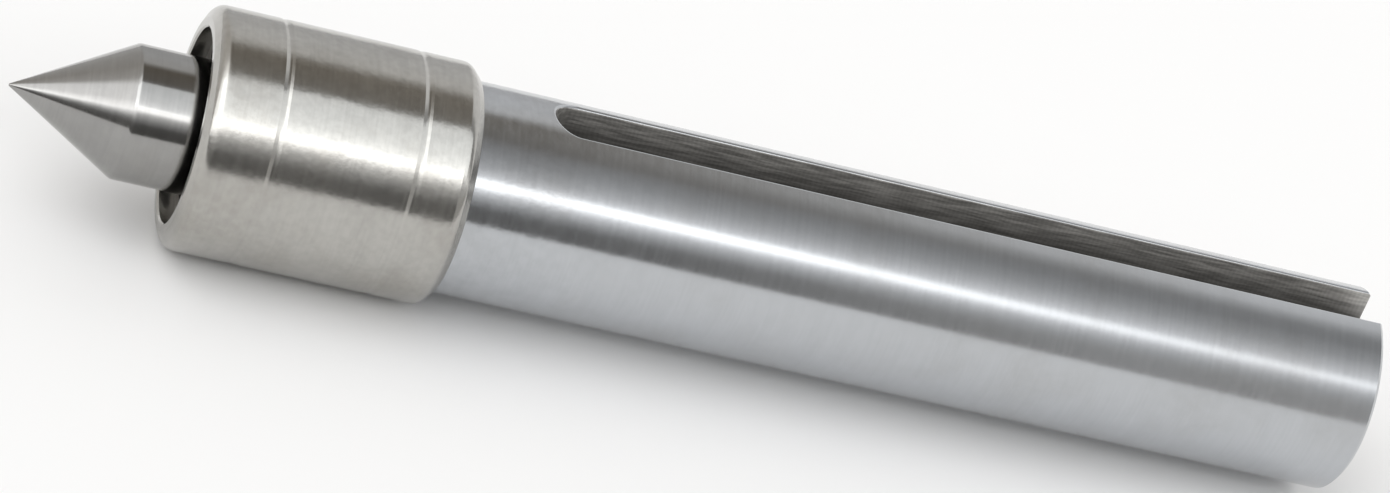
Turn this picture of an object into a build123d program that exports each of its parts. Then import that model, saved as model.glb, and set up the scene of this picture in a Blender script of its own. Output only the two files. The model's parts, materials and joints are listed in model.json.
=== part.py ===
from build123d import *
import math
import os

# Revolving centre with a straight keyed shank. Millimetres, +Z up.
# The axis is X. The origin is the centre of the head's rear face, where the shank starts.
# The point is at -X, the shank at +X, and the keyway faces +Z.

# Shank
shank_d = 24.0
shank_len = 108.5
shank_end_chamfer = 0.4
keyway_w = 6.0
keyway_depth = 4.5
keyway_start = 8.6
keyway_edge_round = 0.3
edge_slack = 0.01
seam_angle = 22.5
screw_tap_d = 10.2
screw_thread_d = 12.0
screw_depth = 32.0
screw_edge_break = 0.3
drill_point_angle = 118.0

# Head
head_wall = 2.75
recess_depth = 2.0
recess_edge_break = 0.2
head_front_bevel = 0.8
head_front_bevel_radial = 1.7
head_front_round = 1.4
head_face_round = 0.4
head_rear_bevel = 1.2
head_rear_round = 1.3
head_shoulder_round = 0.3
front_groove_from_face = 8.1
rear_groove_from_shoulder = 6.6
line_groove_w = 1.0
line_groove_depth = 0.1
line_groove_round = 0.8

# Spindle
spindle_d = 15.2
neck_len = 6.7
cone_angle = 60.0
tip_radius = 0.2
cone_edge_radius = 1.0
journal_d = 10.0
tail_d = 6.0
ring_relief = 0.3
rear_relief_len = 0.6
relief_below_land = 0.4
tail_past_clip = 1.3
spindle_end_chamfer = 0.4

# Front and second bearings, both of one size
bearing_od = 22.0
bearing_w = 6.0
bearing_ball_d = 3.175
bearing_balls = 9
bearing_land = 1.0
spacer_len = 2.0
inner_spacer_wall = 1.8
outer_spacer_wall = 1.6

# Thrust bearing, inside the rear spacer sleeve
thrust_h = 5.5
thrust_ball_share = 0.6
thrust_balls = 12
thrust_race_depth = 0.3
thrust_bore_clearance = 0.15
sleeve_wall = 1.5
sleeve_clearance = 0.5
thrust_cage_h = 1.2
thrust_cage_web = 0.35

# Rear bearing, in the shank's spigot
spigot_len = 7.9
rear_bearing_od = 13.0
rear_bearing_w = 5.0
rear_ball_d = 2.0
rear_balls = 8
rear_land = 0.65
rear_bearing_setback = 2.5
rear_shoulder_gap = 0.2
rear_shoulder_w = 1.0
tail_room = 1.4

# Rings that hold the stack
ring_t = 1.0
ring_groove_depth = 0.5
ring_groove_w = 1.1
ring_band_w = 2.1
ring_fit_gap = 0.05
ring_lug_r = 1.15
ring_lug_hole_d = 1.2
ring_gap_w = 3.2
ring_gap_angle = 49.0
clip_t = 0.7
clip_groove_depth = 0.2
clip_band_w = 1.3
clip_gap_w = 3.4
clip_groove_play = 0.05

# Bearing details
ball_clearance = 0.02
pocket_clearance = 0.05
seal_t = 0.4
seal_inset = 0.2
seal_gap = 0.15
seal_seat = 0.6
cage_side = 0.35
cage_gap = 0.25

# Worked out from the sizes above
shank_r = shank_d / 2
bore_r = bearing_od / 2
head_r = bore_r + head_wall
spindle_r = spindle_d / 2
journal_r = journal_d / 2
tail_r = tail_d / 2
head_len = recess_depth + ring_t + 2 * bearing_w + spacer_len + thrust_h + spigot_len
x_front = -head_len
x_ring = x_front + recess_depth
x_bearing_1 = x_ring + ring_t
x_spacer = x_bearing_1 + bearing_w
x_bearing_2 = x_spacer + spacer_len
x_thrust = x_bearing_2 + bearing_w
x_spigot = x_thrust + thrust_h
x_rear_bearing = x_spigot + rear_bearing_setback
x_clip = x_rear_bearing + rear_bearing_w
x_spindle_end = x_clip + clip_t + tail_past_clip
x_cone_base = x_front - neck_len
half_cone = math.radians(cone_angle / 2)
x_apex = x_cone_base - spindle_r / math.tan(half_cone)
thrust_r = bore_r - sleeve_wall - sleeve_clearance
thrust_ball_r = thrust_ball_share * (thrust_r - journal_r) / 2
ring_groove_r = bore_r + ring_groove_depth


def turned(points, rounds=()):
    """Solid of revolution about X through (x, radius) corners, some of them rounded.

    rounds holds (corner number, radius) pairs.
    """
    outline = make_face(Polyline(*points, close=True))
    for corner, radius in rounds:
        at = Vector(*points[corner])
        nearest = outline.vertices().sort_by_distance(at)[0]
        outline = fillet(nearest, radius)
    return revolve(outline, Axis.X, 360)


def ring(x0, x1, inner_r, outer_r):
    """Plain ring about X from x0 to x1."""
    return turned([(x0, inner_r), (x1, inner_r), (x1, outer_r), (x0, outer_r)])


def race(x, pitch_r, ball_r):
    """Torus about X that cuts a ball's running groove."""
    circle = Pos(x, pitch_r) * Circle(ball_r + ball_clearance)
    return revolve(circle, Axis.X, 360)


def around(shape, count):
    """Copies of a shape spaced evenly about X."""
    return [Rot(360 / count * i, 0, 0) * shape for i in range(count)]


def ball_set(x, pitch_r, ball_r, count):
    """Balls of one bearing as separate solids."""
    return Compound(children=around(Pos(x, pitch_r, 0) * Sphere(ball_r), count))


def cage_ring(x, half_w, radii, pitch_r, pocket, count):
    """Ball cage: a ring with one pocket for each ball."""
    body = ring(x - half_w, x + half_w, *radii)
    for one in around(Pos(x, pitch_r, 0) * pocket, count):
        body -= one
    return body


def radial_bearing(name, x0, bore_r_in, od_r, width, ball_d, count, land):
    """Deep groove bearing: rings, balls, cage and two seals, as named pieces."""
    pitch_r = (bore_r_in + od_r) / 2
    ball_r = ball_d / 2
    middle = x0 + width / 2
    inner_land = pitch_r - land
    outer_land = pitch_r + land
    seat_r = outer_land + seal_seat
    seat_w = seal_inset + seal_t
    outer = ring(x0, x0 + width, outer_land, od_r)
    outer -= ring(x0, x0 + seat_w, outer_land, seat_r)
    outer -= ring(x0 + width - seat_w, x0 + width, outer_land, seat_r)
    outer -= race(middle, pitch_r, ball_r)
    inner = ring(x0, x0 + width, bore_r_in, inner_land)
    inner -= race(middle, pitch_r, ball_r)
    seal = ring(0, seal_t, inner_land + seal_gap, seat_r)
    seals = [Pos(x0 + seal_inset, 0, 0) * seal, Pos(x0 + width - seat_w, 0, 0) * seal]
    radii = (inner_land + cage_gap, outer_land - cage_gap)
    cage = cage_ring(middle, ball_r + cage_side, radii, pitch_r, Sphere(ball_r + pocket_clearance), count)
    return {
        name + "_outer_ring": outer,
        name + "_inner_ring": inner,
        name + "_balls": ball_set(middle, pitch_r, ball_r, count),
        name + "_cage": cage,
        name + "_seals": Compound(children=seals),
    }


def thrust_bearing():
    """Thrust ball bearing: shaft washer in front, housing washer behind."""
    washer_t = thrust_h / 2 - thrust_ball_r + thrust_race_depth
    pitch_r = (journal_r + thrust_r) / 2
    middle = x_thrust + thrust_h / 2
    shaft_washer = ring(x_thrust, x_thrust + washer_t, journal_r, thrust_r)
    housing_bore = journal_r + thrust_bore_clearance
    housing_washer = ring(x_spigot - washer_t, x_spigot, housing_bore, thrust_r)
    cut = race(middle, pitch_r, thrust_ball_r)
    pocket_r = thrust_ball_r + pocket_clearance
    radii = (pitch_r - pocket_r - thrust_cage_web, pitch_r + pocket_r + thrust_cage_web)
    pocket = Rot(0, 90, 0) * Cylinder(pocket_r, thrust_h)
    cage = cage_ring(middle, thrust_cage_h / 2, radii, pitch_r, pocket, thrust_balls)
    return {
        "thrust_shaft_washer": shaft_washer - cut,
        "thrust_housing_washer": housing_washer - cut,
        "thrust_balls": ball_set(middle, pitch_r, thrust_ball_r, thrust_balls),
        "thrust_cage": cage,
    }


def live_point():
    """Spindle: cone, neck, bearing journal and a small tail, in one turned piece."""
    front_relief_r = (journal_r + bore_r) / 2 - bearing_land - relief_below_land
    rear_relief_r = (tail_r + rear_bearing_od / 2) / 2 - rear_land - relief_below_land / 2
    groove_r = tail_r - clip_groove_depth
    groove_end = x_clip + clip_t + clip_groove_play
    touch = tip_radius / math.tan(half_cone)
    tip_x = x_apex + tip_radius / math.sin(half_cone) - tip_radius
    tip_end = (x_apex + touch * math.cos(half_cone), touch * math.sin(half_cone))
    tip = RadiusArc((tip_x, 0), tip_end, tip_radius)
    corners = [
        tip_end,
        (x_cone_base, spindle_r),
        (x_ring - ring_relief, spindle_r),
        (x_ring - ring_relief, front_relief_r),
        (x_bearing_1, front_relief_r),
        (x_bearing_1, journal_r),
        (x_rear_bearing - rear_relief_len, journal_r),
        (x_rear_bearing - rear_relief_len, rear_relief_r),
        (x_rear_bearing, rear_relief_r),
        (x_rear_bearing, tail_r),
        (x_clip, tail_r),
        (x_clip, groove_r),
        (groove_end, groove_r),
        (groove_end, tail_r),
        (x_spindle_end - spindle_end_chamfer, tail_r),
        (x_spindle_end, tail_r - spindle_end_chamfer),
        (x_spindle_end, 0),
        (tip_x, 0),
    ]
    outline = make_face(Polyline(*corners) + tip)
    edge = outline.vertices().sort_by_distance(Vector(x_cone_base, spindle_r))[0]
    return revolve(fillet(edge, cone_edge_radius), Axis.X, 360)


def line_groove(x):
    """Corners of a shallow V-groove in the head's outside."""
    half = line_groove_w / 2
    return [(x - half, head_r), (x, head_r - line_groove_depth), (x + half, head_r)]


def bearing_housing():
    """Head: a tube with an open front recess, a ring groove and two line grooves."""
    points = [
        (x_front, bore_r + recess_edge_break),
        (x_front, head_r - head_front_bevel_radial),
        (x_front + head_front_bevel, head_r),
    ]
    points += line_groove(x_front + front_groove_from_face)
    points += line_groove(-rear_groove_from_shoulder)
    points += [
        (-head_rear_bevel, head_r),
        (0, head_r - head_rear_bevel),
        (0, bore_r),
        (x_ring + ring_groove_w, bore_r),
        (x_ring + ring_groove_w, ring_groove_r),
        (x_ring, ring_groove_r),
        (x_ring, bore_r),
        (x_front + recess_edge_break, bore_r),
    ]
    rounds = [(1, head_face_round), (2, head_front_round)]
    rounds += [(4, line_groove_round), (7, line_groove_round)]
    rounds += [(9, head_rear_round), (10, head_shoulder_round)]
    return turned(points, rounds)


def keyway():
    """Keyway cutter: straight walls, a round front end, open at the rear."""
    half = keyway_w / 2
    floor_z = shank_r - keyway_depth
    x0 = keyway_start + half
    x1 = shank_len + keyway_w
    height = 2 * keyway_depth
    straight = Pos((x0 + x1) / 2, 0, floor_z + height / 2) * Box(x1 - x0, keyway_w, height)
    end = Pos(x0, 0, floor_z + height / 2) * Cylinder(half, height)
    return straight + end


def screw_hole():
    """Blind tapped hole in the rear end, with a drill point and an edge break."""
    tap_r = screw_tap_d / 2
    mouth_r = screw_thread_d / 2 + screw_edge_break
    bottom = shank_len - screw_depth
    point = tap_r / math.tan(math.radians(drill_point_angle / 2))
    mouth = mouth_r - tap_r
    return turned([
        (bottom - point, 0),
        (bottom, tap_r),
        (shank_len - mouth, tap_r),
        (shank_len, mouth_r),
        (shank_len + mouth, mouth_r),
        (shank_len + mouth, 0),
    ])


def spigot_bore():
    """Stepped bore that seats the rear bearing and leaves room for the spindle's tail."""
    seat_r = rear_bearing_od / 2
    seat_end = x_clip + rear_shoulder_gap
    tail_bore_r = seat_r - rear_shoulder_w
    tail_end = x_spindle_end + tail_room
    return turned([
        (x_spigot, 0),
        (x_spigot, seat_r),
        (seat_end, seat_r),
        (seat_end, tail_bore_r),
        (tail_end, tail_bore_r),
        (tail_end, 0),
    ])


def quill_shank():
    """Shank: a keyed bar with a spigot that is pressed into the head."""
    end_c = shank_end_chamfer
    bar = turned([
        (x_spigot, 0),
        (x_spigot, bore_r),
        (0, bore_r),
        (0, shank_r),
        (shank_len - end_c, shank_r),
        (shank_len, shank_r - end_c),
        (shank_len, 0),
    ])
    # The turned bar's seam line is kept clear of the keyway.
    bar = Rot(seam_angle, 0, 0) * bar - spigot_bore() - screw_hole() - keyway()
    rim_z = shank_r - keyway_depth / 2
    rim_end = shank_len - end_c + edge_slack
    rim_y = keyway_w / 2 + edge_slack
    rim_start = keyway_start - edge_slack
    rim = [
        e for e in bar.edges()
        if e.bounding_box().min.Z > rim_z and e.bounding_box().max.X < rim_end
        and abs(e.center().Y) <= rim_y and e.center().X > rim_start
    ]
    return fillet(rim, keyway_edge_round)


def retaining_ring():
    """Internal retaining ring with two plier lugs either side of its gap."""
    outer_r = ring_groove_r - ring_fit_gap
    inner_r = outer_r - ring_band_w
    lug_at = inner_r
    half_angle = math.degrees(math.asin((ring_gap_w / 2 + ring_lug_r) / lug_at))
    body = ring(x_ring, x_ring + ring_t, inner_r, outer_r)
    middle = x_ring + ring_t / 2
    turn = Rot(0, 90, 0)
    lugs = []
    holes = []
    for side in (-1, 1):
        place = Rot(side * half_angle, 0, 0) * Pos(middle, lug_at, 0)
        lugs.append(place * turn * Cylinder(ring_lug_r, ring_t))
        holes.append(place * turn * Cylinder(ring_lug_hole_d / 2, 2 * ring_t))
    gap = Pos(middle, lug_at, 0) * Box(2 * ring_t, 2 * lug_at - ring_gap_w, ring_gap_w)
    body = body + lugs[0] + lugs[1] - gap - holes[0] - holes[1]
    return Rot(ring_gap_angle, 0, 0) * body


def spindle_circlip():
    """External circlip that holds the rear bearing on the spindle's tail."""
    inner_r = tail_r - clip_groove_depth
    body = ring(x_clip, x_clip + clip_t, inner_r, tail_r + clip_band_w)
    reach = tail_d + 2 * clip_band_w
    gap = Pos(x_clip + clip_t / 2, -reach / 2, 0) * Box(2 * clip_t, reach, clip_gap_w)
    return body - gap


def spacers():
    """Spacers between the bearings and round the thrust bearing."""
    return {
        "inner_spacer": ring(x_spacer, x_bearing_2, journal_r, journal_r + inner_spacer_wall),
        "outer_spacer": ring(x_spacer, x_bearing_2, bore_r - outer_spacer_wall, bore_r),
        "rear_spacer_sleeve": ring(x_thrust, x_spigot, bore_r - sleeve_wall, bore_r),
    }


def build():
    """All pieces by node name."""
    nodes = {
        "live_point": live_point(),
        "bearing_housing": bearing_housing(),
        "quill_shank": quill_shank(),
        "retaining_ring": retaining_ring(),
        "spindle_circlip": spindle_circlip(),
    }
    main = (bore_r, bearing_w, bearing_ball_d, bearing_balls, bearing_land)
    nodes.update(radial_bearing("front_bearing", x_bearing_1, journal_r, *main))
    nodes.update(radial_bearing("second_bearing", x_bearing_2, journal_r, *main))
    rear = (rear_bearing_od / 2, rear_bearing_w, rear_ball_d, rear_balls, rear_land)
    nodes.update(radial_bearing("rear_bearing", x_rear_bearing, tail_r, *rear))
    nodes.update(thrust_bearing())
    nodes.update(spacers())
    return nodes


os.makedirs("parts", exist_ok=True)
for node, shape in build().items():
    export_step(shape, "parts/" + node + ".step")
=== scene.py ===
"""Looks of a revolving lathe centre: polished point, satin head, ground keyed shank, bearings inside."""

import json
import logging
import math
from dataclasses import dataclass, field, replace
from enum import Enum
from typing import ClassVar, Dict, List, Optional, Sequence, Tuple, Union

import bpy
from mathutils import Matrix, Vector


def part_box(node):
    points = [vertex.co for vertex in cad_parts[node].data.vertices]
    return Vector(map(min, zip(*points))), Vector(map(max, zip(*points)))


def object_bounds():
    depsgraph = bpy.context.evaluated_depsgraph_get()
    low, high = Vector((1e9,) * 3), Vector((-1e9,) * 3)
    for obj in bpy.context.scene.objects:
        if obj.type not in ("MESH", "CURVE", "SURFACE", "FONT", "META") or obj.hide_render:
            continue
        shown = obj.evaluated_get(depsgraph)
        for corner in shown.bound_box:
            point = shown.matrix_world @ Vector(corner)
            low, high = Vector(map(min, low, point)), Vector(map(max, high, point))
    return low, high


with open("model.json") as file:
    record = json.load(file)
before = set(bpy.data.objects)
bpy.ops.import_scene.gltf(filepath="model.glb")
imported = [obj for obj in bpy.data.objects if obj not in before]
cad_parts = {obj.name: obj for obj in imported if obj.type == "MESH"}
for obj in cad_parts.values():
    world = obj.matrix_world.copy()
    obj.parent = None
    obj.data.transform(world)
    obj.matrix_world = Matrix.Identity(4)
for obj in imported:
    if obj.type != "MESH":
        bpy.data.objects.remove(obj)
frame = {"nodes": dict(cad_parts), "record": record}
CAD_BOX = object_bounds()

LOG = logging.getLogger("live_center")
MM = 0.001
PER_MM = 1000.0
Colour = Tuple[float, float, float]
Socket = bpy.types.NodeSocket
Value = Union[float, Tuple[float, ...], Socket]
Material = bpy.types.Material
Thing = bpy.types.Object
HALF_TURN = 180.0


class Tree:
    """A node tree with short calls to add nodes and link them."""

    def __init__(self, tree: bpy.types.NodeTree) -> None:
        """Wraps a tree and empties it."""
        self.tree = tree
        self.tree.nodes.clear()

    def add(self, kind: str, **settings: object) -> bpy.types.Node:
        """Adds a node.

        Args:
            kind: The node's type name without its leading ShaderNode, or the whole name of a
                group's input or output node.
            **settings: Properties of the node.

        Returns:
            The new node.
        """
        node = self.tree.nodes.new(kind if kind.startswith("NodeGroup") else "ShaderNode" + kind)
        for key, value in settings.items():
            setattr(node, key, value)
        return node

    def put(self, slot: Socket, value: Value) -> None:
        """Links a socket to an input, or sets the input to a value.

        Args:
            slot: The input.
            value: A socket, or a number, vector or colour.
        """
        if isinstance(value, bpy.types.NodeSocket):
            self.tree.links.new(value, slot)
        else:
            slot.default_value = value

    def math(self, operation: str, *values: Value) -> Socket:
        """Adds a Math node.

        Args:
            operation: The Math node's operation.
            *values: Numbers or sockets for its inputs, in order.

        Returns:
            Its output socket.
        """
        node = self.add("Math", operation=operation)
        for slot, value in zip(node.inputs, values):
            self.put(slot, value)
        return node.outputs[0]

    def length(self, first: Value, second: Value) -> Socket:
        """Gives the length of a vector from its two parts."""
        squares = [self.math("MULTIPLY", part, part) for part in (first, second)]
        return self.math("SQRT", self.math("ADD", *squares))

    def spread(self, value: Value, reach: float) -> Socket:
        """Turns a value from 0 to 1 into one from -reach to reach."""
        return self.math("MULTIPLY", self.math("SUBTRACT", value, 0.5), 2 * reach)

    def step(self, value: Value, low: float, high: float, start: float = 0.0, end: float = 1.0) -> Socket:
        """Maps a value smoothly from one range to another.

        Args:
            value: The value that is mapped.
            low: Where the change starts.
            high: Where the change ends.
            start: Result up to low.
            end: Result from high on.

        Returns:
            The mapped value.
        """
        node = self.add("MapRange", interpolation_type="SMOOTHSTEP")
        for slot, given in zip(node.inputs, (value, low, high, start, end)):
            self.put(slot, given)
        return node.outputs[0]

    def noise(self, place: Socket, scale: Value, detail: float = 2.0, seed: Optional[Value] = None) -> Socket:
        """Adds a noise texture.

        Args:
            place: Where on the surface it is read.
            scale: Its scale.
            detail: How many finer layers it has.
            seed: Place in a fourth direction, which keeps equal textures apart.

        Returns:
            Its value.
        """
        node = self.add("TexNoise", noise_dimensions="3D" if seed is None else "4D")
        self.put(node.inputs["Vector"], place)
        self.put(node.inputs["Scale"], scale)
        self.put(node.inputs["Detail"], detail)
        if seed is not None:
            self.put(node.inputs["W"], seed)
        return node.outputs["Fac"]

    def stretch(self, place: Socket, factors: Tuple[float, float, float]) -> Socket:
        """Multiplies a place's coordinates one by one.

        Args:
            place: The place.
            factors: What X, Y and Z are multiplied by.

        Returns:
            The new place.
        """
        node = self.add("VectorMath", operation="MULTIPLY")
        self.put(node.inputs[0], place)
        self.put(node.inputs[1], factors)
        return node.outputs[0]

    def tint(self, colour: Colour, tone: Value) -> Socket:
        """Makes a colour lighter or darker.

        Args:
            colour: The colour.
            tone: What it is multiplied by.

        Returns:
            The new colour.
        """
        node = self.add("VectorMath", operation="SCALE")
        self.put(node.inputs[0], colour)
        self.put(node.inputs["Scale"], tone)
        return node.outputs[0]

    def blend(self, share: Value, first: Value, second: Value, kind: str = "RGBA") -> Socket:
        """Mixes two colours or two numbers.

        Args:
            share: Share of the second.
            first: The first colour or number.
            second: The second one.
            kind: RGBA for colours or FLOAT for numbers.

        Returns:
            The mix.
        """
        node = self.add("Mix", data_type=kind)
        self.put(node.inputs["Factor"], share)
        self.put(node.inputs["A"], first)
        self.put(node.inputs["B"], second)
        return node.outputs["Result"]


# A noise value spreads over about this range, and is stretched to 0 to 1 from it.
WIDE: Tuple[float, float] = (0.28, 0.72)
MIDDLE: Tuple[float, float] = (0.32, 0.68)


class Effect:
    """A shader node group with named inputs and outputs, built once and shared by the finishes."""

    title: ClassVar[str] = "effect"
    given: ClassVar[Dict[str, float]] = {}
    results: ClassVar[Sequence[str]] = ()

    def __init__(self) -> None:
        """Builds the group."""
        self.group = bpy.data.node_groups.new(self.title, "ShaderNodeTree")
        for name, value in self.given.items():
            slot = self.group.interface.new_socket(name, in_out="INPUT", socket_type="NodeSocketFloat")
            slot.default_value = value
        for name in self.results:
            self.group.interface.new_socket(name, in_out="OUTPUT", socket_type="NodeSocketFloat")
        tree = Tree(self.group)
        inside = tree.add("NodeGroupInput").outputs
        ends = tree.add("NodeGroupOutput").inputs
        for name, value in self.draw(tree, inside).items():
            tree.put(ends[name], value)

    def draw(self, tree: Tree, inside: bpy.types.NodeOutputs) -> Dict[str, Socket]:
        """Adds the group's own nodes.

        Args:
            tree: The group's node tree.
            inside: The group's inputs.

        Returns:
            The socket for each result.
        """
        raise NotImplementedError

    def place(self, tree: Tree, **values: Value) -> Dict[str, Socket]:
        """Puts the group in a material.

        Args:
            tree: The material's node tree.
            **values: Values for its inputs, by name.

        Returns:
            Its outputs by name.
        """
        node = tree.add("Group", node_tree=self.group)
        for name, value in values.items():
            tree.put(node.inputs[name], value)
        return {name: node.outputs[name] for name in self.results}


def place_in_mm(tree: Tree) -> Tuple[Socket, bpy.types.NodeOutputs]:
    """Reads where a surface point is on its piece.

    Args:
        tree: The node tree that reads it.

    Returns:
        The point in millimetres, and the same as X, Y and Z.
    """
    place = tree.stretch(tree.add("TexCoord").outputs["Object"], (PER_MM, PER_MM, PER_MM))
    split = tree.add("SeparateXYZ")
    tree.put(split.inputs[0], place)
    return place, split.outputs


class TurnedLines(Effect):
    """Fine tool lines that run round the axis, on round surfaces, cones and end faces alike."""

    title = "turned_lines"
    given = {"Spacing": 0.4, "Seed": 0.0}
    results = ("Fine", "Broad")
    ARC: ClassVar[float] = 0.09
    BROAD: ClassVar[float] = 5.5

    def draw(self, tree: Tree, inside: bpy.types.NodeOutputs) -> Dict[str, Socket]:
        """Adds noise that is long round the axis and short across it.

        Args:
            tree: The group's node tree.
            inside: The group's inputs.

        Returns:
            The socket for each result.
        """
        _, (x, y, z) = place_in_mm(tree)
        radius = tree.length(y, z)
        around = tree.math("MULTIPLY", tree.math("ADD", y, z), self.ARC)
        other = tree.math("ADD", tree.math("MULTIPLY", tree.math("SUBTRACT", y, z), self.ARC), inside["Seed"])
        lines = []
        for widen in (1.0, self.BROAD):
            spacing = tree.math("MULTIPLY", inside["Spacing"], widen)
            join = tree.add("CombineXYZ")
            tree.put(join.inputs[0], tree.math("DIVIDE", x, spacing))
            tree.put(join.inputs[1], tree.math("DIVIDE", radius, spacing))
            tree.put(join.inputs[2], around)
            lines.append(tree.step(tree.noise(join.outputs[0], 1.0, seed=other), *WIDE))
        return {"Fine": lines[0], "Broad": lines[1]}


class Mottle(Effect):
    """Soft blotches left by hardening and handling."""

    title = "mottle"
    given = {"Size": 1.5, "Seed": 0.0}
    results = ("Blotch", "Cloud")
    CLOUD: ClassVar[float] = 6.0
    DETAIL: ClassVar[float] = 3.0

    def draw(self, tree: Tree, inside: bpy.types.NodeOutputs) -> Dict[str, Socket]:
        """Adds small blotches and large clouds.

        Args:
            tree: The group's node tree.
            inside: The group's inputs.

        Returns:
            The socket for each result.
        """
        place, _ = place_in_mm(tree)
        marks = []
        for widen in (1.0, self.CLOUD):
            scale = tree.math("DIVIDE", 1.0, tree.math("MULTIPLY", inside["Size"], widen))
            marks.append(tree.step(tree.noise(place, scale, self.DETAIL, inside["Seed"]), *MIDDLE))
        return {"Blotch": marks[0], "Cloud": marks[1]}


class EdgeWear(Effect):
    """Edges rubbed bright, in broken stretches."""

    title = "edge_wear"
    given = {"Radius": 0.0003, "Breaks": 1.2}
    results = ("Wear",)
    SHARP: ClassVar[Tuple[float, float]] = (0.015, 0.16)
    BROKEN: ClassVar[Tuple[float, float, float, float]] = (0.3, 0.6, 0.25, 1.0)
    SAMPLES: ClassVar[int] = 4

    def draw(self, tree: Tree, inside: bpy.types.NodeOutputs) -> Dict[str, Socket]:
        """Compares the surface with the same surface rounded over.

        Args:
            tree: The group's node tree.
            inside: The group's inputs.

        Returns:
            The socket for each result.
        """
        rounded = tree.add("Bevel", samples=self.SAMPLES)
        tree.put(rounded.inputs["Radius"], inside["Radius"])
        agree = tree.add("VectorMath", operation="DOT_PRODUCT")
        tree.put(agree.inputs[0], rounded.outputs[0])
        tree.put(agree.inputs[1], tree.add("NewGeometry").outputs["Normal"])
        bend = tree.math("SUBTRACT", 1.0, agree.outputs["Value"])
        edge = tree.step(bend, *self.SHARP)
        place, _ = place_in_mm(tree)
        broken = tree.step(tree.noise(place, inside["Breaks"]), *self.BROKEN)
        return {"Wear": tree.math("MULTIPLY", edge, broken)}


class Smudge(Effect):
    """Faint finger marks and dried oil in patches."""

    title = "smudge"
    given = {"Size": 9.0, "Seed": 0.0}
    results = ("Film",)
    DETAIL: ClassVar[float] = 4.0
    FINE: ClassVar[float] = 9.0
    PATCH: ClassVar[Tuple[float, float]] = (0.46, 0.68)
    UNEVEN: ClassVar[Tuple[float, float, float, float]] = (0.3, 0.7, 0.55, 1.0)

    def draw(self, tree: Tree, inside: bpy.types.NodeOutputs) -> Dict[str, Socket]:
        """Adds patches with an uneven inside.

        Args:
            tree: The group's node tree.
            inside: The group's inputs.

        Returns:
            The socket for each result.
        """
        place, _ = place_in_mm(tree)
        scale = tree.math("DIVIDE", 1.0, inside["Size"])
        patch = tree.step(tree.noise(place, scale, self.DETAIL, inside["Seed"]), *self.PATCH)
        grain = tree.noise(place, tree.math("DIVIDE", self.FINE, inside["Size"]))
        return {"Film": tree.math("MULTIPLY", patch, tree.step(grain, *self.UNEVEN))}


@dataclass
class Effects:
    """The shared effects, each built once."""

    lines: TurnedLines = field(default_factory=TurnedLines)
    mottle: Mottle = field(default_factory=Mottle)
    wear: EdgeWear = field(default_factory=EdgeWear)
    smudge: Smudge = field(default_factory=Smudge)


# Light that arrives from each height round the object's axis, in degrees: 0 is level on the
# camera's side, 90 straight up and 180 level behind. Each stop is (height, level, warmth).
Stop = Tuple[float, float, float]
NEAR_LIGHT: Sequence[Stop] = (
    (0.0, 0.12, 0.2), (14.0, 0.16, 0.1), (22.0, 0.48, 0.0), (29.0, 0.9, 0.0), (34.0, 1.5, 0.0),
    (37.5, 3.2, 0.0), (42.5, 3.2, 0.0), (46.5, 1.2, 0.0), (56.0, 0.74, 0.0), (70.0, 0.48, 0.0),
    (84.0, 0.34, 0.1), (92.0, 0.24, 0.5), (117.0, 0.22, 0.8), (121.0, 0.32, 0.5), (129.0, 0.76, 0.1),
    (150.0, 0.74, 0.0), (180.0, 0.55, 0.0),
)
REAR_LIGHT: Sequence[Stop] = (
    (0.0, 0.5, 0.1), (16.0, 0.52, 0.1), (24.0, 0.58, 0.0), (31.0, 0.8, 0.0), (36.0, 1.2, 0.0),
    (38.5, 1.7, 0.0), (42.5, 1.6, 0.0), (46.5, 0.98, 0.0), (56.0, 0.74, 0.0), (66.0, 0.5, 0.0),
    (82.0, 0.33, 0.0), (92.0, 0.35, 0.0), (100.0, 0.55, 0.0), (110.0, 0.9, 0.0), (129.0, 0.95, 0.0),
    (180.0, 0.95, 0.0),
)
POINT_LIGHT: Sequence[Stop] = (
    (0.0, 0.16, 0.2), (14.0, 0.25, 0.1), (24.0, 0.7, 0.0), (32.0, 1.7, 0.0), (38.0, 3.0, 0.0),
    (46.0, 2.6, 0.0), (60.0, 1.9, 0.0), (92.0, 1.7, 0.0), (104.0, 0.8, 0.2), (130.0, 0.62, 0.3),
    (180.0, 0.7, 0.1),
)
WARM: Colour = (1.0, 0.86, 0.68)


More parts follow.
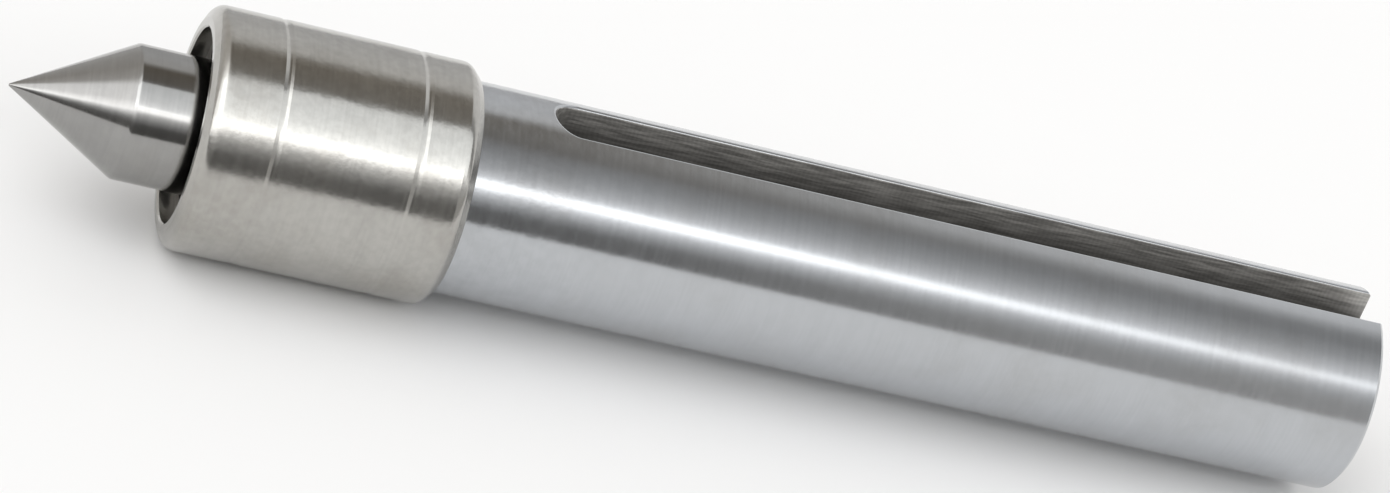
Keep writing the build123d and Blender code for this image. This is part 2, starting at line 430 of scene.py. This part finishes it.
@dataclass
class Studio:
    """Pale floor, soft light all round and the camera.

    Attributes:
        aim: Point on the camera's middle ray, in millimetres.
        distance: From the aim point to the camera, in millimetres.
        swing: The camera's turns about its own X, Y and Z axes, in degrees, done in that order.
        lens: Focal length, in millimetres.
        sensor: Width of the camera's sensor, in millimetres.
        clip_start: Nearest distance that the camera shows, in metres.
        floor_size: Side of the floor, in metres.
        floor_front: From the axis to the floor's front edge, in metres.
        floor_colour: Colour of the floor.
        peak: Level that stands for full in the light's colour ramps.
        toward_point: Share of a ray's direction along X where point light gives way to near light.
        toward_rear: The same where near light gives way to rear light.
        box_heights: Lowest and highest angle of the softbox over the head, in degrees.
        box_distance: From the head to the softbox, in metres.
        box_length: Length of the softbox along the axis, in metres.
        box_level: Brightness of the softbox.
        box_colour: Colour of the softbox, slightly cool.
        floor_level: Strength of the light on the floor.
        floor_spread: Angle from which the light on the floor comes, in degrees.
        backdrop: Colour behind the floor.
    """

    aim: Vector = field(default_factory=lambda: Vector((29.03, -0.32, -0.53)))
    distance: float = 576.69
    swing: Tuple[float, float, float] = (58.937, -15.296, 12.817)
    lens: float = 133.07
    sensor: float = 36.0
    clip_start: float = 0.01
    floor_size: float = 6.0
    floor_front: float = 0.3
    floor_colour: Colour = (0.9, 0.9, 0.9)
    peak: float = 8.0
    toward_point: Tuple[float, float] = (-0.3, 0.0)
    toward_rear: Tuple[float, float] = (0.21, 0.38)
    box_heights: Tuple[float, float] = (43.0, 86.0)
    box_distance: float = 1.2
    box_length: float = 2.4
    box_level: float = 1.0
    box_colour: Colour = (0.94, 0.975, 1.0)
    floor_level: float = 0.42
    floor_spread: float = 70.0
    backdrop: Colour = (0.985, 0.985, 0.98)

    def camera(self) -> None:
        """Makes the camera and sets it as the scene's own."""
        data = bpy.data.cameras.new("camera")
        data.lens = self.lens
        data.sensor_width = self.sensor
        data.clip_start = self.clip_start
        camera = bpy.data.objects.new("camera", data)
        bpy.context.scene.collection.objects.link(camera)
        turn = Matrix.Identity(3)
        for angle, axis in zip(self.swing, "XYZ"):
            turn = turn @ Matrix.Rotation(math.radians(angle), 3, axis)
        camera.rotation_euler = turn.to_euler()
        camera.location = self.aim * MM + turn @ Vector((0, 0, self.distance * MM))
        bpy.context.scene.camera = camera

    def floor(self) -> Thing:
        """Lays a plain pale floor under the lowest point of the object.

        Returns:
            The floor.
        """
        low = CAD_BOX[0][2]
        half = self.floor_size / 2
        front = -self.floor_front
        corners = [(-half, front, low), (half, front, low), (half, half, low), (-half, half, low)]
        mesh = bpy.data.meshes.new("floor")
        mesh.from_pydata(corners, [], [(0, 1, 2, 3)])
        floor = bpy.data.objects.new("floor", mesh)
        bpy.context.scene.collection.objects.link(floor)
        material = bpy.data.materials.new("floor")
        material.use_nodes = True
        shader = material.node_tree.nodes["Principled BSDF"]
        shader.inputs["Base Color"].default_value = (*self.floor_colour, 1)
        shader.inputs["Roughness"].default_value = 1.0
        shader.inputs["Specular IOR Level"].default_value = 0.0
        mesh.materials.append(material)
        return floor

    def ramp(self, tree: Tree, share: Socket, stops: Sequence[Stop]) -> Socket:
        """Turns a height into the light that comes from it.

        Args:
            tree: The world's node tree.
            share: Height as a share of a half turn.
            stops: The light at each height.

        Returns:
            The light's colour, as a share of the peak level.
        """
        node = tree.add("ValToRGB")
        elements = node.color_ramp.elements
        while len(elements) < len(stops):
            elements.new(1.0)
        for element, (height, level, warmth) in zip(elements, stops):
            element.position = height / HALF_TURN
            share_of_peak = [level / self.peak * (1 + (warm - 1) * warmth) for warm in WARM]
            element.color = (*share_of_peak, 1)
        tree.put(node.inputs[0], share)
        return node.outputs["Color"]

    def surround(self) -> None:
        """Lights the scene from a soft surround, with plain white behind for the camera."""
        world = bpy.data.worlds.new("studio")
        bpy.context.scene.world = world
        world.use_nodes = True
        tree = Tree(world.node_tree)
        place = tree.add("TexCoord")
        split = tree.add("SeparateXYZ")
        tree.put(split.inputs[0], place.outputs["Generated"])
        toward = tree.math("MULTIPLY", split.outputs["Y"], -1.0)
        height = tree.math("ARCTAN2", split.outputs["Z"], toward)
        share = tree.math("DIVIDE", height, math.pi)
        near, rear, point = (self.ramp(tree, share, s) for s in (NEAR_LIGHT, REAR_LIGHT, POINT_LIGHT))
        mixed = tree.blend(tree.step(split.outputs["X"], *self.toward_rear), near, rear)
        mixed = tree.blend(tree.step(split.outputs["X"], *self.toward_point), point, mixed)
        glow = tree.add("Background")
        tree.put(glow.inputs["Color"], mixed)
        tree.put(glow.inputs["Strength"], self.peak)
        plain = tree.add("Background")
        tree.put(plain.inputs["Color"], (*self.backdrop, 1))
        path = tree.add("LightPath")
        mix = tree.add("MixShader")
        out = tree.add("OutputWorld")
        tree.put(mix.inputs[0], path.outputs["Is Camera Ray"])
        tree.put(mix.inputs[1], glow.outputs[0])
        tree.put(mix.inputs[2], plain.outputs[0])
        tree.put(out.inputs["Surface"], mix.outputs[0])
        bpy.context.scene.view_settings.view_transform = "Standard"

    def lit_only(self, lamp: Thing, things: Sequence[Thing]) -> None:
        """Makes a lamp light only the given things.

        Args:
            lamp: The lamp.
            things: The pieces that it lights.
        """
        group = bpy.data.collections.new(lamp.name + "_lights")
        for thing in things:
            group.objects.link(thing)
        lamp.light_linking.receiver_collection = group

    def lamps(self, floor: Thing, head: Sequence[Thing]) -> None:
        """Adds the floor's own soft light and the softbox over the head and the point.

        Args:
            floor: The floor.
            head: The pieces that the softbox lights.
        """
        sun = bpy.data.lights.new("floor_light", "SUN")
        sun.energy = self.floor_level
        sun.angle = math.radians(self.floor_spread)
        lamp = bpy.data.objects.new("floor_light", sun)
        bpy.context.scene.collection.objects.link(lamp)
        self.lit_only(lamp, [floor])
        low, high = (math.radians(a) for a in self.box_heights)
        middle = (low + high) / 2
        box = bpy.data.lights.new("softbox", "AREA")
        box.color = self.box_colour
        box.shape = "RECTANGLE"
        box.size = self.box_length
        box.size_y = 2 * self.box_distance * math.tan((high - low) / 2)
        # A panel's brightness is its power over pi times its area.
        box.energy = self.box_level * math.pi * box.size * box.size_y
        lamp = bpy.data.objects.new("softbox", box)
        away = Vector((0, -math.cos(middle), math.sin(middle)))
        lamp.location = away * self.box_distance
        lamp.rotation_euler = away.to_track_quat("Z", "Y").to_euler()
        bpy.context.scene.collection.objects.link(lamp)
        self.lit_only(lamp, head)

    def build(self, head: Sequence[Thing]) -> None:
        """Makes the floor, the light and the camera.

        Args:
            head: The pieces that the softbox lights.
        """
        floor = self.floor()
        self.surround()
        self.lamps(floor, head)
        self.camera()


@dataclass(frozen=True)
class MetalFinish:
    """A bare metal surface with tool lines, blotches, rubbed edges and faint smudges.

    Attributes:
        name: The material's name.
        colour: Colour of the clean metal.
        roughness: Roughness of the clean metal.
        spacing: Distance between tool lines, in millimetres.
        line_tone: Share by which tool lines darken and lighten the metal.
        line_roughness: Roughness that tool lines add or take away.
        line_height: Height of the tool lines, in millimetres.
        blotch: Size of the blotches, in millimetres.
        blotch_tone: Share by which blotches darken the metal.
        blotch_height: Height of the blotches' unevenness, in millimetres.
        wear: Share of the worn colour at rubbed edges.
        worn: Colour of rubbed edges.
        wear_radius: Width of the rubbed edges, in millimetres.
        film: How much smudges show.
        seed: Keeps one finish's marks apart from another's.
    """

    name: str
    colour: Colour
    roughness: float
    spacing: float = 0.4
    line_tone: float = 0.05
    line_roughness: float = 0.03
    line_height: float = 0.0005
    blotch: float = 1.5
    blotch_tone: float = 0.05
    blotch_height: float = 0.001
    wear: float = 0.5
    worn: Colour = (0.72, 0.72, 0.71)
    wear_radius: float = 0.25
    film: float = 0.3
    seed: float = 0.0

    FILM_COLOUR: ClassVar[Colour] = (0.24, 0.215, 0.18)
    FILM_COVER: ClassVar[float] = 0.5
    FILM_ROUGHNESS: ClassVar[float] = 0.09
    FINE_SHARE: ClassVar[float] = 0.6
    BLOTCH_SHARE: ClassVar[float] = 0.65
    METALLIC: ClassVar[float] = 1.0

    def marked(self, tree: Tree, effects: Effects) -> Dict[str, Socket]:
        """Works out the finish's colour, roughness and height over the surface.

        Args:
            tree: The material's node tree.
            effects: The shared effects.

        Returns:
            Sockets named colour, roughness and height, the last in millimetres.
        """
        lines = effects.lines.place(tree, Spacing=self.spacing, Seed=self.seed)
        marks = effects.mottle.place(tree, Size=self.blotch, Seed=self.seed)
        wear = effects.wear.place(tree, Radius=self.wear_radius * MM)["Wear"]
        film = effects.smudge.place(tree, Seed=self.seed)["Film"]
        fine = tree.math("MULTIPLY", lines["Fine"], self.FINE_SHARE)
        broad = tree.math("MULTIPLY", lines["Broad"], 1 - self.FINE_SHARE)
        both = tree.math("ADD", fine, broad)
        tone = tree.spread(both, self.line_tone)
        patchy = self.patchy(tree, marks)
        tone = tree.math("SUBTRACT", tone, tree.math("MULTIPLY", patchy, self.blotch_tone))
        tone = tree.math("ADD", tone, 1.0 + self.blotch_tone / 2)
        clean = tree.tint(self.colour, tone)
        worn = tree.blend(tree.math("MULTIPLY", wear, self.wear), clean, (*self.worn, 1))
        shown = tree.math("MULTIPLY", film, self.film)
        colour = tree.blend(tree.math("MULTIPLY", shown, self.FILM_COVER), worn, (*self.FILM_COLOUR, 1))
        rough = tree.math("ADD", tree.spread(both, self.line_roughness), self.roughness)
        rough = tree.math("ADD", rough, tree.math("MULTIPLY", shown, self.FILM_ROUGHNESS))
        height = tree.math("MULTIPLY", both, self.line_height)
        height = tree.math("ADD", height, tree.math("MULTIPLY", patchy, self.blotch_height))
        return {"colour": colour, "roughness": rough, "height": height}

    def patchy(self, tree: Tree, marks: Dict[str, Socket]) -> Socket:
        """Mixes blotches and clouds into one unevenness."""
        small = tree.math("MULTIPLY", marks["Blotch"], self.BLOTCH_SHARE)
        return tree.math("ADD", small, tree.math("MULTIPLY", marks["Cloud"], 1 - self.BLOTCH_SHARE))

    def material(self, effects: Effects) -> Material:
        """Builds the finish.

        Args:
            effects: The shared effects.

        Returns:
            The material.
        """
        made = bpy.data.materials.new(self.name)
        made.use_nodes = True
        tree = Tree(made.node_tree)
        shader = tree.add("BsdfPrincipled")
        out = tree.add("OutputMaterial")
        tree.put(out.inputs["Surface"], shader.outputs[0])
        shader.inputs["Metallic"].default_value = self.METALLIC
        surface = self.marked(tree, effects)
        bump = tree.add("Bump")
        bump.inputs["Distance"].default_value = MM
        tree.put(bump.inputs["Height"], surface["height"])
        tree.put(shader.inputs["Base Color"], surface["colour"])
        tree.put(shader.inputs["Roughness"], surface["roughness"])
        tree.put(shader.inputs["Normal"], bump.outputs[0])
        return made


@dataclass(frozen=True)
class ShankFinish(MetalFinish):
    """Ground steel with a milled keyway and a tapped hole at its rear end.

    Attributes:
        keyway_half: Half the keyway's width, in millimetres.
        keyway_floor: Height of its floor above the axis, in millimetres.
        keyway_start: Where its round front end starts, in millimetres along the axis.
        feed: Distance between the cutter's marks, in millimetres.
        milled: Colour of the milled surfaces.
        milled_roughness: Roughness of the milled surfaces.
        milled_height: Height of the cutter's marks, in millimetres.
        painted_shade: Share of the milled colour that is left at the keyway's floor and all over the tapped
            hole, a painted shade for these recesses.
        painted_shade_depth: Height over which the painted shade clears, in millimetres.
        hole_radius: Distance from the axis within which a surface is the tapped hole's, in millimetres.
        darker_near_head: Length next to the head over which the blotches are stronger and darken the metal
            more, in millimetres.
    """

    keyway_half: float = 0.0
    keyway_floor: float = 0.0
    keyway_start: float = 0.0
    feed: float = 0.55
    milled: Colour = (0.58, 0.569, 0.548)
    milled_roughness: float = 0.52
    milled_height: float = 0.004
    # Painted shade for the keyway's depth and for the tapped hole.
    painted_shade: float = 0.4
    painted_shade_depth: float = 3.6
    hole_radius: float = 0.0
    darker_near_head: float = 26.0

    SLACK: ClassVar[float] = 0.04
    FAR_BLOTCH_SHARE: ClassVar[float] = 0.3
    DRIFT: ClassVar[float] = 2.0
    DRIFT_SCALE: ClassVar[float] = 0.35
    WAVE: ClassVar[float] = 0.1
    STREAK_DETAIL: ClassVar[float] = 3.0
    STREAK_STRETCH: ClassVar[Tuple[float, float, float]] = (0.22, 2.4, 3.2)
    STREAK_TONE: ClassVar[Tuple[float, float]] = (0.72, 0.42)
    STREAK_ROUGHNESS: ClassVar[float] = 0.12

    def patchy(self, tree: Tree, marks: Dict[str, Socket]) -> Socket:
        """Makes the blotches stronger next to the head.

        Args:
            tree: The material's node tree.
            marks: The mottle's outputs.

        Returns:
            The unevenness.
        """
        _, (x, _, _) = place_in_mm(tree)
        # Blotches count fully at the head and fade to a smaller share over this length, so the shank is
        # darker next to the head.
        near = tree.step(x, 0.0, self.darker_near_head, 1.0, self.FAR_BLOTCH_SHARE)
        return tree.math("MULTIPLY", super().patchy(tree, marks), near)

    def inside(self, tree: Tree) -> Socket:
        """Tells the milled and drilled surfaces from the ground ones.

        Args:
            tree: The material's node tree.

        Returns:
            A mask, 1 in the keyway and the tapped hole and 0 elsewhere.
        """
        _, (x, y, z) = place_in_mm(tree)
        centre = self.keyway_start + self.keyway_half
        ahead = tree.math("MAXIMUM", tree.math("SUBTRACT", centre, x), 0.0)
        reach = tree.length(ahead, y)
        across = tree.math("LESS_THAN", reach, self.keyway_half + self.SLACK)
        above = tree.math("GREATER_THAN", z, self.keyway_floor - self.SLACK)
        slot = tree.math("MULTIPLY", across, above)
        radius = tree.length(y, z)
        return tree.math("MAXIMUM", slot, tree.math("LESS_THAN", radius, self.hole_radius))

    def marked(self, tree: Tree, effects: Effects) -> Dict[str, Socket]:
        """Adds the cutter's marks in the keyway to the ground finish.

        Args:
            tree: The material's node tree.
            effects: The shared effects.

        Returns:
            Sockets named colour, roughness and height, the last in millimetres.
        """
        ground = super().marked(tree, effects)
        inside = self.inside(tree)
        place, (x, _, z) = place_in_mm(tree)
        drift = tree.math("MULTIPLY", tree.noise(place, self.DRIFT_SCALE), self.DRIFT * self.feed)
        turns = tree.math("DIVIDE", tree.math("ADD", x, drift), self.feed)
        wave = tree.math("SINE", tree.math("MULTIPLY", turns, 2 * math.pi))
        along = tree.stretch(place, self.STREAK_STRETCH)
        streak = tree.step(tree.noise(along, 1.0, self.STREAK_DETAIL), *WIDE)
        cut = tree.math("ADD", tree.math("MULTIPLY", wave, self.WAVE), streak)
        clean, change = self.STREAK_TONE
        tone = tree.math("ADD", tree.math("MULTIPLY", cut, change), clean)
        # Painted shade: the milled colour darkens towards the keyway's floor, and the tapped hole, lying
        # lower, gets the darkest share all over.
        clear = tree.step(z, self.keyway_floor, self.keyway_floor + self.painted_shade_depth, self.painted_shade, 1.0)
        tone = tree.math("MULTIPLY", tone, clear)
        rough = tree.math("MULTIPLY", streak, self.STREAK_ROUGHNESS)
        rough = tree.math("ADD", rough, self.milled_roughness)
        height = tree.math("MULTIPLY", cut, self.milled_height)
        return {
            "colour": tree.blend(inside, ground["colour"], tree.tint(self.milled, tone)),
            "roughness": tree.blend(inside, ground["roughness"], rough, "FLOAT"),
            "height": tree.blend(inside, ground["height"], height, "FLOAT"),
        }


@dataclass(frozen=True)
class RubberFinish(MetalFinish):
    """Moulded rubber with a fine grain, a little dust and a film of oil."""

    DUST: ClassVar[Colour] = (0.11, 0.105, 0.095)
    DUSTY: ClassVar[float] = 0.3
    FILM_SIZE: ClassVar[float] = 3.0
    METALLIC: ClassVar[float] = 0.0
    OILED: ClassVar[float] = 0.2

    def marked(self, tree: Tree, effects: Effects) -> Dict[str, Socket]:
        """Works out the rubber's colour, roughness and height over the surface.

        Args:
            tree: The material's node tree.
            effects: The shared effects.

        Returns:
            Sockets named colour, roughness and height, the last in millimetres.
        """
        marks = effects.mottle.place(tree, Size=self.blotch, Seed=self.seed)
        film = effects.smudge.place(tree, Size=self.FILM_SIZE, Seed=self.seed)["Film"]
        dusty = tree.math("MULTIPLY", marks["Cloud"], self.DUSTY)
        rough = tree.math("SUBTRACT", self.roughness, tree.math("MULTIPLY", film, self.OILED))
        return {
            "colour": tree.blend(dusty, (*self.colour, 1), (*self.DUST, 1)),
            "roughness": rough,
            "height": tree.math("MULTIPLY", marks["Blotch"], self.blotch_height),
        }


class Finish(Enum):
    """The finishes that a piece can have."""

    POINT = MetalFinish(
        "polished_tool_steel", (0.325, 0.322, 0.314), 0.12, spacing=0.3, line_tone=0.045, line_roughness=0.02,
        blotch=1.4, blotch_tone=0.08, blotch_height=0.0025, wear=0.35, film=0.2, seed=1.0,
    )
    HEAD = MetalFinish(
        "satin_head_steel", (0.45, 0.441, 0.417), 0.17, spacing=0.34, line_tone=0.05, line_roughness=0.012,
        line_height=0.0008, blotch=0.9, blotch_tone=0.13, blotch_height=0.0065, wear=0.4, film=0.5, seed=2.0,
    )
    SHANK = ShankFinish(
        "ground_shank_steel", (0.475, 0.49, 0.508), 0.155, spacing=0.3, line_tone=0.035, line_roughness=0.02,
        line_height=0.0004, blotch=1.3, blotch_tone=0.12, blotch_height=0.007, wear=0.05,
        wear_radius=0.2, film=0.25, seed=3.0,
    )
    SPRING = MetalFinish(
        "spring_steel", (0.13, 0.124, 0.115), 0.34, spacing=0.5, line_tone=0.12, line_roughness=0.05,
        blotch=0.9, blotch_tone=0.25, wear=0.5, worn=(0.42, 0.41, 0.39), wear_radius=0.15, film=0.5, seed=4.0,
    )
    RACE = MetalFinish("bearing_steel", (0.52, 0.518, 0.505), 0.16, spacing=0.22, film=0.4, seed=5.0)
    BALL = MetalFinish(
        "bearing_ball_steel", (0.66, 0.66, 0.66), 0.06, spacing=0.9, line_tone=0.015, line_roughness=0.01,
        line_height=0.0, blotch_tone=0.03, blotch_height=0.0, wear=0.0, film=0.25, seed=6.0,
    )
    CAGE = MetalFinish(
        "cage_steel", (0.42, 0.413, 0.395), 0.28, spacing=0.5, line_tone=0.08,
        blotch_tone=0.12, film=0.4, seed=7.0,
    )
    BRASS = MetalFinish(
        "cage_brass", (0.62, 0.45, 0.19), 0.25, spacing=0.3, line_tone=0.1, blotch_tone=0.16,
        worn=(0.85, 0.68, 0.36), film=0.4, seed=8.0,
    )
    SEAL = RubberFinish("seal_rubber", (0.022, 0.022, 0.023), 0.5, blotch=0.25, blotch_height=0.004, seed=9.0)
    SPACER = MetalFinish("spacer_steel", (0.36, 0.358, 0.35), 0.24, spacing=0.35, line_tone=0.1, seed=10.0)


@dataclass
class SubAssembly:
    """Pieces that are made and fitted together.

    Attributes:
        effects: The shared effects.
    """

    effects: Effects

    built: ClassVar[Dict[str, Material]] = {}

    def pieces(self) -> Dict[str, MetalFinish]:
        """Gives the finish of each piece by name."""
        raise NotImplementedError

    def dress(self) -> List[Thing]:
        """Puts its finish on every piece and reports it.

        Returns:
            The pieces.
        """
        dressed = []
        for name, finish in self.pieces().items():
            if finish.name not in self.built:
                self.built[finish.name] = finish.material(self.effects)
            piece = frame["nodes"][name]
            piece.data.materials.clear()
            piece.data.materials.append(self.built[finish.name])
            low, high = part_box(name)
            size = [round((b - a) / MM, 1) for a, b in zip(low, high)]
            LOG.info("%s: %s, %s mm", name, finish.name, size)
            dressed.append(piece)
        return dressed


@dataclass
class Spindle(SubAssembly):
    """The turning point with its circlip and the spacer between its bearings."""

    def pieces(self) -> Dict[str, MetalFinish]:
        """Finishes the point, its circlip and its spacer.

        Returns:
            The finish of each piece by name.
        """
        return {
            "live_point": Finish.POINT.value,
            "spindle_circlip": Finish.SPRING.value,
            "inner_spacer": Finish.SPACER.value,
        }


@dataclass
class Head(SubAssembly):
    """The bearing housing with its retaining ring and outer spacers."""

    def pieces(self) -> Dict[str, MetalFinish]:
        """Finishes the housing and what is fixed in it.

        Returns:
            The finish of each piece by name.
        """
        return {
            "bearing_housing": Finish.HEAD.value,
            "retaining_ring": Finish.SPRING.value,
            "outer_spacer": Finish.SPACER.value,
            "rear_spacer_sleeve": Finish.SPACER.value,
        }


@dataclass
class Shank(SubAssembly):
    """The keyed shank with its tapped rear end.

    Attributes:
        keyway_width: Width of the keyway, in millimetres.
        keyway_start: Where its round front end starts, in millimetres along the axis.
        hole_edge: How far the hole's own surface reaches past its radius, in millimetres.
    """

    keyway_width: float = 6.0
    keyway_start: float = 8.6
    hole_edge: float = 0.2

    def pieces(self) -> Dict[str, MetalFinish]:
        """Fits the shank's finish to its keyway and tapped hole.

        Returns:
            The finish of each piece by name.
        """
        mounts = {mount["name"]: mount for mount in frame["record"]["mounts"]}
        finish = replace(
            Finish.SHANK.value,
            keyway_half=self.keyway_width / 2,
            keyway_floor=mounts["keyway"]["pos_m"][2] / MM,
            keyway_start=self.keyway_start,
            hole_radius=mounts["feed_screw_hole"]["dims"]["r_mm"] + self.hole_edge,
        )
        return {"quill_shank": finish}


@dataclass
class RadialBearing(SubAssembly):
    """A ball bearing with two rings, balls, cage and seals.

    Attributes:
        name: Where the bearing sits.
    """

    name: str = "front"

    def pieces(self) -> Dict[str, MetalFinish]:
        """Finishes the rings, balls, cage and seals.

        Returns:
            The finish of each piece by name.
        """
        parts = {
            "outer_ring": Finish.RACE.value,
            "inner_ring": Finish.RACE.value,
            "balls": Finish.BALL.value,
            "cage": Finish.CAGE.value,
            "seals": Finish.SEAL.value,
        }
        return {self.name + "_bearing_" + part: finish for part, finish in parts.items()}


@dataclass
class ThrustBearing(SubAssembly):
    """The bearing that takes the push along the axis."""

    def pieces(self) -> Dict[str, MetalFinish]:
        """Finishes the washers, balls and cage.

        Returns:
            The finish of each piece by name.
        """
        return {
            "thrust_shaft_washer": Finish.RACE.value,
            "thrust_housing_washer": Finish.RACE.value,
            "thrust_balls": Finish.BALL.value,
            "thrust_cage": Finish.BRASS.value,
        }


def main() -> None:
    """Dresses every piece, sub-assembly by sub-assembly, and sets up the studio."""
    effects = Effects()
    shank = Shank(effects).dress()
    lit = Spindle(effects).dress() + Head(effects).dress()
    for place in ("front", "second", "rear"):
        lit += RadialBearing(effects, place).dress()
    lit += ThrustBearing(effects).dress()
    bare = set(frame["nodes"]) - {piece.name for piece in shank + lit}
    if bare:
        raise ValueError("pieces with no finish: %s" % sorted(bare))
    Studio().build(lit)


if __name__ == "__main__":
    logging.basicConfig(level=logging.INFO, format="%(message)s")
    main()
